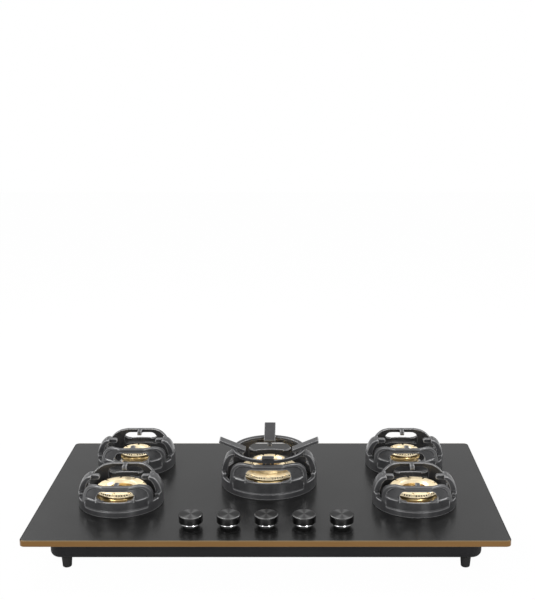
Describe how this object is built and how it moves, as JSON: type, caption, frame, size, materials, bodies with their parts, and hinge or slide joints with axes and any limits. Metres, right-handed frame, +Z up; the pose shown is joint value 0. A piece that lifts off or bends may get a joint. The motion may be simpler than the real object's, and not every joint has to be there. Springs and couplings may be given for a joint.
{
  "type": "gas cooktop",
  "caption": "Built-in gas cooktop with a black glass panel in a copper-coloured edge band, brass burners, cast pan supports, a wok stand and push-turn knobs.",
  "frame": {"origin": "on the surface under the feet, below the middle of the panel", "axes": "+X to the right along the front edge, +Y from the knobs to the back, +Z up"},
  "size_m": [0.9, 0.51, 0.17],
  "materials": {
    "black_glass": "satin-etched black toughened glass",
    "copper_trim": "brushed, copper-coloured anodised",
    "case_paint": "black powder coat",
    "seal_rubber": "closed-cell foam strip",
    "foot_rubber": "moulded black",
    "zinc_steel": "zinc plated",
    "cast_aluminium": "die-cast",
    "tray_enamel": "black enamelled pressing",
    "burner_brass": "turned brass",
    "fitting_brass": "turned brass",
    "ceramic": "glazed ceramic",
    "iron_enamel": "satin black enamel",
    "collar_plastic": "moulded black",
    "knob_metal": "black anodised, spun top",
    "ring_chrome": "polished"
  },
  "bodies": {
    "hob": {"glass_panel": "black_glass", "edge_trim": "copper_trim", "bottom_case": "case_paint", "case_gasket": "seal_rubber", "feet": "foot_rubber", "foot_screws": "zinc_steel", "burner_brackets": "zinc_steel", "front_burner_cups": "cast_aluminium", "rear_burner_cups": "cast_aluminium", "centre_burner_cup": "cast_aluminium", "front_drip_trays": "tray_enamel", "rear_drip_trays": "tray_enamel", "centre_drip_tray": "tray_enamel", "spark_electrodes": "ceramic", "thermocouples": "zinc_steel", "valve_bodies": "cast_aluminium", "knob_collars": "collar_plastic", "gas_rail": "zinc_steel", "inlet_pipe": "zinc_steel", "inlet_fitting": "fitting_brass", "burner_pipes": "cast_aluminium", "injectors": "fitting_brass", "ignition_module": "collar_plastic", "battery_box": "collar_plastic"},
    "plug_1": {"valve_plug_1": "fitting_brass"},
    "knob_1": {"knob_1": "knob_metal", "knob_ring_1": "ring_chrome", "spindle_1": "zinc_steel"},
    "plug_2": {"valve_plug_2": "fitting_brass"},
    "knob_2": {"knob_2": "knob_metal", "knob_ring_2": "ring_chrome", "spindle_2": "zinc_steel"},
    "plug_3": {"valve_plug_3": "fitting_brass"},
    "knob_3": {"knob_3": "knob_metal", "knob_ring_3": "ring_chrome", "spindle_3": "zinc_steel"},
    "plug_4": {"valve_plug_4": "fitting_brass"},
    "knob_4": {"knob_4": "knob_metal", "knob_ring_4": "ring_chrome", "spindle_4": "zinc_steel"},
    "plug_5": {"valve_plug_5": "fitting_brass"},
    "knob_5": {"knob_5": "knob_metal", "knob_ring_5": "ring_chrome", "spindle_5": "zinc_steel"},
    "front_left_crown": {"front_left_crown": "burner_brass"},
    "front_right_crown": {"front_right_crown": "burner_brass"},
    "rear_left_crown": {"rear_left_crown": "burner_brass"},
    "rear_right_crown": {"rear_right_crown": "burner_brass"},
    "centre_crown": {"centre_crown": "burner_brass"},
    "front_left_cap": {"front_left_cap": "burner_brass"},
    "front_right_cap": {"front_right_cap": "burner_brass"},
    "centre_cap": {"centre_cap": "burner_brass"},
    "front_left_support": {"front_left_support": "iron_enamel"},
    "front_right_support": {"front_right_support": "iron_enamel"},
    "rear_left_support": {"rear_left_support": "iron_enamel"},
    "rear_right_support": {"rear_right_support": "iron_enamel"},
    "centre_support": {"centre_support": "iron_enamel"},
    "wok_stand": {"wok_stand": "iron_enamel"}
  },
  "joints": [
    {"name": "knob_1_turn", "type": "hinge", "parent": "hob", "child": "plug_1", "pos_m": [-0.142, -0.189, 0.04], "axis": [0, 0, 1], "range_deg": [0, 180]},
    {"name": "knob_1_push", "type": "slide", "parent": "plug_1", "child": "knob_1", "axis": [0, 0, -1], "range_m": [0, 0.004], "stiffness_N_per_m": 500, "springref_m": -0.004},
    {"name": "knob_2_turn", "type": "hinge", "parent": "hob", "child": "plug_2", "pos_m": [-0.071, -0.189, 0.04], "axis": [0, 0, 1], "range_deg": [0, 180]},
    {"name": "knob_2_push", "type": "slide", "parent": "plug_2", "child": "knob_2", "axis": [0, 0, -1], "range_m": [0, 0.004], "stiffness_N_per_m": 500, "springref_m": -0.004},
    {"name": "knob_3_turn", "type": "hinge", "parent": "hob", "child": "plug_3", "pos_m": [0, -0.189, 0.04], "axis": [0, 0, 1], "range_deg": [0, 180]},
    {"name": "knob_3_push", "type": "slide", "parent": "plug_3", "child": "knob_3", "axis": [0, 0, -1], "range_m": [0, 0.004], "stiffness_N_per_m": 500, "springref_m": -0.004},
    {"name": "knob_4_turn", "type": "hinge", "parent": "hob", "child": "plug_4", "pos_m": [0.071, -0.189, 0.04], "axis": [0, 0, 1], "range_deg": [0, 180]},
    {"name": "knob_4_push", "type": "slide", "parent": "plug_4", "child": "knob_4", "axis": [0, 0, -1], "range_m": [0, 0.004], "stiffness_N_per_m": 500, "springref_m": -0.004},
    {"name": "knob_5_turn", "type": "hinge", "parent": "hob", "child": "plug_5", "pos_m": [0.142, -0.189, 0.04], "axis": [0, 0, 1], "range_deg": [0, 180]},
    {"name": "knob_5_push", "type": "slide", "parent": "plug_5", "child": "knob_5", "axis": [0, 0, -1], "range_m": [0, 0.004], "stiffness_N_per_m": 500, "springref_m": -0.004},
    {"name": "front_left_crown_lift", "type": "slide", "parent": "hob", "child": "front_left_crown", "axis": [0, 0, 1], "range_m": [0, 0.012]},
    {"name": "front_right_crown_lift", "type": "slide", "parent": "hob", "child": "front_right_crown", "axis": [0, 0, 1], "range_m": [0, 0.012]},
    {"name": "rear_left_crown_lift", "type": "slide", "parent": "hob", "child": "rear_left_crown", "axis": [0, 0, 1], "range_m": [0, 0.06]},
    {"name": "rear_right_crown_lift", "type": "slide", "parent": "hob", "child": "rear_right_crown", "axis": [0, 0, 1], "range_m": [0, 0.06]},
    {"name": "centre_crown_lift", "type": "slide", "parent": "hob", "child": "centre_crown", "axis": [0, 0, 1], "range_m": [0, 0.018]},
    {"name": "front_left_cap_lift", "type": "slide", "parent": "front_left_crown", "child": "front_left_cap", "axis": [0, 0, 1], "range_m": [0, 0.03]},
    {"name": "front_right_cap_lift", "type": "slide", "parent": "front_right_crown", "child": "front_right_cap", "axis": [0, 0, 1], "range_m": [0, 0.03]},
    {"name": "centre_cap_lift", "type": "slide", "parent": "centre_crown", "child": "centre_cap", "axis": [0, 0, 1], "range_m": [0, 0.03]},
    {"name": "front_left_support_lift", "type": "slide", "parent": "hob", "child": "front_left_support", "axis": [0, 0, 1], "range_m": [0, 0.08]},
    {"name": "front_right_support_lift", "type": "slide", "parent": "hob", "child": "front_right_support", "axis": [0, 0, 1], "range_m": [0, 0.08]},
    {"name": "rear_left_support_lift", "type": "slide", "parent": "hob", "child": "rear_left_support", "axis": [0, 0, 1], "range_m": [0, 0.08]},
    {"name": "rear_right_support_lift", "type": "slide", "parent": "hob", "child": "rear_right_support", "axis": [0, 0, 1], "range_m": [0, 0.08]},
    {"name": "centre_support_lift", "type": "slide", "parent": "hob", "child": "centre_support", "axis": [0, 0, 1], "range_m": [0, 0.08]},
    {"name": "wok_stand_lift", "type": "slide", "parent": "centre_support", "child": "wok_stand", "axis": [0, 0, 1], "range_m": [0, 0.06]}
  ]
}
